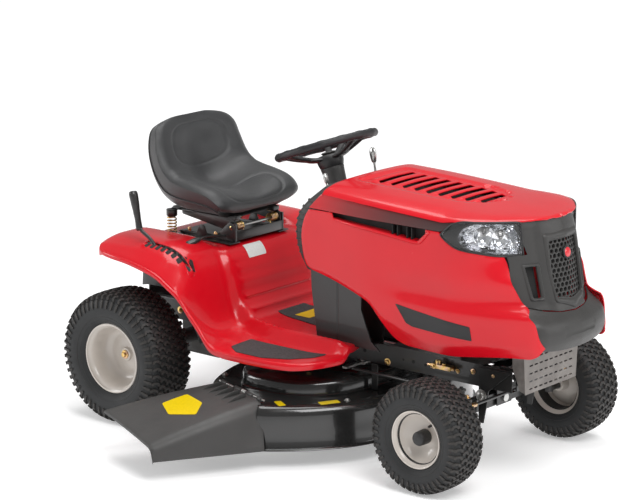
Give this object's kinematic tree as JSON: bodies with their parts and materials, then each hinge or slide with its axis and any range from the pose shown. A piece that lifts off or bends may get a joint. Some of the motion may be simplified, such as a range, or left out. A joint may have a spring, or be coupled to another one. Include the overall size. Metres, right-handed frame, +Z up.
{
  "type": "riding lawn mower",
  "caption": "Riding lawn mower: front engine under a tipping hood, bucket seat between rear fenders, belly cutting deck with a side discharge chute.",
  "frame": {"origin": "on the ground, on the centreline, midway between the front and rear axles", "axes": "+Z up; the mower drives towards -Y, so +Y points to the rear; -X is the mower's right side, with the discharge chute"},
  "size_m": [1.387, 1.8, 1.0203],
  "materials": {
    "frame_black": "semi-gloss black powder coat",
    "body_red": "gloss red enamel",
    "rim_paint": "gloss warm light grey enamel",
    "tyre_rubber": "matt moulded rubber",
    "zinc": "yellow-passivated zinc plate",
    "bare_steel": "brushed",
    "dark_plastic": "fine grained",
    "grey_steel": "satin grey",
    "cast_metal": "cast",
    "engine_alloy": "cast",
    "tank_plastic": "translucent white",
    "lens": "clear",
    "deck_black": "gloss black enamel",
    "vinyl": "soft black vinyl",
    "grip_rubber": "soft",
    "belt_rubber": "matt",
    "blade_steel": "ground edge"
  },
  "bodies": {
    "chassis": {"frame_rails": "frame_black", "cross_members": "frame_black", "hitch_plate": "frame_black", "axle_brackets": "frame_black", "frame_bolts": "bare_steel", "muffler_guard": "grey_steel", "engine_block": "engine_alloy", "blower_housing": "dark_plastic", "engine_muffler": "cast_metal", "fuel_tank": "tank_plastic", "transaxle": "engine_alloy", "tower_panels": "dark_plastic", "dash_panel": "dark_plastic", "column_boot": "grip_rubber", "fender_body": "body_red", "seat_base": "frame_black", "notch_plate": "frame_black", "seat_springs": "zinc"},
    "crank": {"engine_pulley": "bare_steel"},
    "front_axle": {"axle_beam": "frame_black"},
    "knuckle_right": {"steering_knuckle_right": "bare_steel"},
    "knuckle_left": {"steering_knuckle_left": "bare_steel"},
    "tie_rod_body": {"tie_rod": "bare_steel"},
    "drag_link_body": {"drag_link": "bare_steel"},
    "sector": {"steering_sector": "bare_steel"},
    "steering": {"steering_wheel": "dark_plastic", "steering_shaft": "bare_steel"},
    "front_wheel_right": {"front_tyre_right": "tyre_rubber", "front_rim_right": "rim_paint"},
    "front_wheel_left": {"front_tyre_left": "tyre_rubber", "front_rim_left": "rim_paint"},
    "rear_wheel_right": {"rear_tyre_right": "tyre_rubber", "rear_rim_right": "rim_paint", "rear_axle_shaft_right": "bare_steel"},
    "rear_wheel_left": {"rear_tyre_left": "tyre_rubber", "rear_rim_left": "rim_paint", "rear_axle_shaft_left": "bare_steel"},
    "hood_group": {"hood": "body_red", "headlight_lenses": "lens", "grille_surround": "dark_plastic", "grille_mesh": "dark_plastic", "hood_hinge_arms": "frame_black"},
    "seat": {"seat_pan": "frame_black", "seat_cushion": "vinyl"},
    "lift": {"lift_lever": "frame_black"},
    "deck": {"deck_shell": "deck_black", "belt_cover": "dark_plastic", "spindle_housings": "engine_alloy", "deck_belt": "belt_rubber", "deck_links": "bare_steel"},
    "cutter_right": {"blade_right": "blade_steel", "spindle_pulley_right": "bare_steel"},
    "cutter_left": {"blade_left": "blade_steel", "spindle_pulley_left": "bare_steel"},
    "chute": {"discharge_chute": "dark_plastic"},
    "throttle": {"throttle_lever": "frame_black"},
    "blade_control": {"blade_lever": "frame_black"},
    "key": {"ignition_key": "bare_steel"},
    "pedal": {"brake_pedal": "frame_black"},
    "seat_latch": {"seat_lever": "grip_rubber"}
  },
  "joints": [
    {"name": "front_axle_rock", "type": "hinge", "parent": "chassis", "child": "front_axle", "pos_m": [0, -0.625, 0.221], "axis": [0, 1, 0], "range_deg": [-5, 5]},
    {"name": "steering_turn", "type": "hinge", "parent": "chassis", "child": "steering", "pos_m": [0, 0.09, 0.95], "axis": [0, 0.342, 0.9397], "range_deg": [-96, 96]},
    {"name": "sector_turn", "type": "hinge", "parent": "chassis", "child": "sector", "pos_m": [-0.115, -0.16, 0.276], "axis": [0, 0, 1], "range_deg": [-32.1, 32.1]},
    {"name": "steer_right", "type": "hinge", "parent": "front_axle", "child": "knuckle_right", "pos_m": [-0.285, -0.625, 0.179], "axis": [0, 0, 1], "range_deg": [-32.1, 32.1]},
    {"name": "steer_left", "type": "hinge", "parent": "front_axle", "child": "knuckle_left", "pos_m": [0.285, -0.625, 0.179], "axis": [0, 0, 1], "range_deg": [-32.1, 32.1]},
    {"name": "tie_rod_swing", "type": "hinge", "parent": "knuckle_right", "child": "tie_rod_body", "pos_m": [-0.285, -0.711, 0.265], "axis": [0, 0, 1], "range_deg": [-32.1, 32.1]},
    {"name": "drag_link_swing", "type": "hinge", "parent": "knuckle_right", "child": "drag_link_body", "pos_m": [-0.2, -0.625, 0.276], "axis": [0, 0, 1], "range_deg": [-32.1, 32.1]},
    {"name": "front_wheel_right_spin", "type": "hinge", "parent": "knuckle_right", "child": "front_wheel_right", "pos_m": [-0.375, -0.625, 0.179], "axis": [1, 0, 0], "continuous": true},
    {"name": "front_wheel_left_spin", "type": "hinge", "parent": "knuckle_left", "child": "front_wheel_left", "pos_m": [0.375, -0.625, 0.179], "axis": [1, 0, 0], "continuous": true},
    {"name": "rear_wheel_right_spin", "type": "hinge", "parent": "chassis", "child": "rear_wheel_right", "pos_m": [-0.415, 0.625, 0.227], "axis": [1, 0, 0], "continuous": true},
    {"name": "rear_wheel_left_spin", "type": "hinge", "parent": "chassis", "child": "rear_wheel_left", "pos_m": [0.415, 0.625, 0.227], "axis": [1, 0, 0], "continuous": true},
    {"name": "hood_open", "type": "hinge", "parent": "chassis", "child": "hood_group", "pos_m": [0, -0.8, 0.452], "axis": [1, 0, 0], "range_deg": [0, 50]},
    {"name": "seat_tip", "type": "hinge", "parent": "chassis", "child": "seat", "pos_m": [0, 0.4, 0.646], "axis": [1, 0, 0], "range_deg": [0, 30]},
    {"name": "lift_turn", "type": "hinge", "parent": "chassis", "child": "lift", "pos_m": [-0.36, 0.33, 0.312], "axis": [1, 0, 0], "range_deg": [0, 19]},
    {"name": "deck_travel", "type": "slide", "parent": "chassis", "child": "deck", "axis": [0, 0, 1], "range_m": [-0.0382, 0]},
    {"name": "blade_right_spin", "type": "hinge", "parent": "deck", "child": "cutter_right", "pos_m": [-0.231, 0.01, 0.15], "axis": [0, 0, 1], "continuous": true},
    {"name": "blade_left_spin", "type": "hinge", "parent": "deck", "child": "cutter_left", "pos_m": [0.231, 0.01, 0.15], "axis": [0, 0, 1], "continuous": true},
    {"name": "crank_spin", "type": "hinge", "parent": "chassis", "child": "crank", "pos_m": [0, -0.44, 0.3], "axis": [0, 0, 1], "continuous": true},
    {"name": "chute_lift", "type": "hinge", "parent": "deck", "child": "chute", "pos_m": [-0.425, 0.187, 0.21], "axis": [0.3093, 0.951, 0], "range_deg": [0, 70]},
    {"name": "throttle_turn", "type": "hinge", "parent": "chassis", "child": "throttle", "pos_m": [-0.13, -0.036, 0.79], "axis": [1, 0, 0], "range_deg": [-20, 20]},
    {"name": "blade_control_turn", "type": "hinge", "parent": "chassis", "child": "blade_control", "pos_m": [0.092, -0.052, 0.815], "axis": [1, 0, 0], "range_deg": [-25, 0]},
    {"name": "key_turn", "type": "hinge", "parent": "chassis", "child": "key", "pos_m": [-0.07, -0.027, 0.813], "axis": [0, 0.6428, 0.766], "range_deg": [-60, 60]},
    {"name": "pedal_press", "type": "hinge", "parent": "chassis", "child": "pedal", "pos_m": [0.3, -0.2, 0.29], "axis": [1, 0, 0], "range_deg": [0, 18], "stiffness_Nm_per_rad": 30, "springref_deg": -8.59},
    {"name": "seat_latch_turn", "type": "hinge", "parent": "chassis", "child": "seat_latch", "pos_m": [-0.1315, 0.425, 0.617], "axis": [0, 0, 1], "range_deg": [-10, 10]}
  ],
  "couplings": [
    {"joint": "sector_turn", "follows": "steering_turn", "ratio": -0.33333},
    {"joint": "steer_right", "follows": "steering_turn", "ratio": 0.33333},
    {"joint": "steer_left", "follows": "steering_turn", "ratio": 0.33333},
    {"joint": "tie_rod_swing", "follows": "steering_turn", "ratio": -0.33333},
    {"joint": "drag_link_swing", "follows": "steering_turn", "ratio": -0.33333},
    {"joint": "deck_travel", "follows": "lift_turn", "m_per_rad": -0.115},
    {"joint": "blade_left_spin", "follows": "blade_right_spin", "ratio": 1},
    {"joint": "crank_spin", "follows": "blade_right_spin", "ratio": 0.88}
  ]
}
